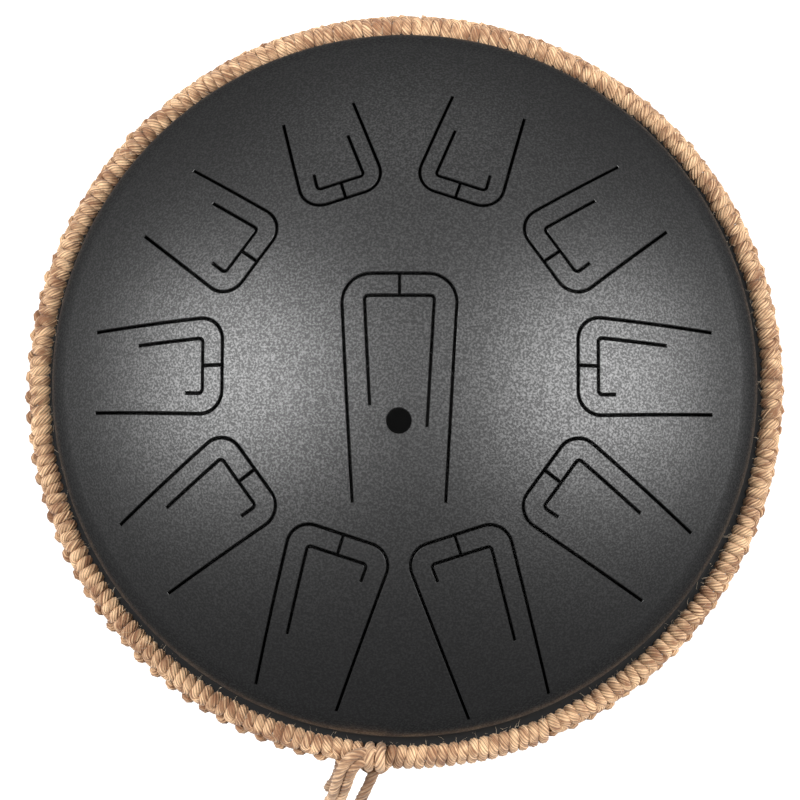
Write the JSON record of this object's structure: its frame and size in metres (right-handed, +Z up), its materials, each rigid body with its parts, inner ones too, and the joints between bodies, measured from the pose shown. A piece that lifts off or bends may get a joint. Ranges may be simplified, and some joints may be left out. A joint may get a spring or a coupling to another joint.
{
  "type": "steel tongue drum",
  "caption": "Domed steel tongue drum: bonded pressed shells, slit tongues, sound port, rubber feet and a rim of hitched jute cord with a knot and hanging tails.",
  "frame": {"origin": "centre of the drum on the surface that its feet stand on", "axes": "+Z up through the crown, -Y towards the finishing knot of the cord rim"},
  "size_m": [0.3264, 0.3518, 0.162],
  "materials": {
    "shell_coating": "satin black powder coat with a fine sparkling grain",
    "adhesive": "cured black structural adhesive",
    "core_jute": "three-ply jute cord",
    "rim_jute": "three-ply jute cord, hitched tight",
    "knot_jute": "three-ply jute cord, loose fibres",
    "foot_rubber": "matt black rubber",
    "washer_zinc": "bright zinc plate",
    "screw_steel": "nickel-plated steel"
  },
  "bodies": {
    "root": {"top_shell": "shell_coating", "bottom_shell": "shell_coating", "seam_adhesive": "adhesive", "rim_core_cord": "core_jute", "rim_hitching": "rim_jute", "finishing_knot": "knot_jute", "tail_left_back": "knot_jute", "tail_left_front": "knot_jute", "tail_stub": "knot_jute", "tail_right": "knot_jute", "foot_1": "foot_rubber", "foot_2": "foot_rubber", "foot_3": "foot_rubber", "foot_4": "foot_rubber", "foot_washer_1": "washer_zinc", "foot_washer_2": "washer_zinc", "foot_washer_3": "washer_zinc", "foot_washer_4": "washer_zinc", "foot_screw_1": "screw_steel", "foot_screw_2": "screw_steel", "foot_screw_3": "screw_steel", "foot_screw_4": "screw_steel", "inner_washer_1": "washer_zinc", "inner_washer_2": "washer_zinc", "inner_washer_3": "washer_zinc", "inner_washer_4": "washer_zinc", "foot_nut_1": "screw_steel", "foot_nut_2": "screw_steel", "foot_nut_3": "screw_steel", "foot_nut_4": "screw_steel"}
  },
  "joints": []
}
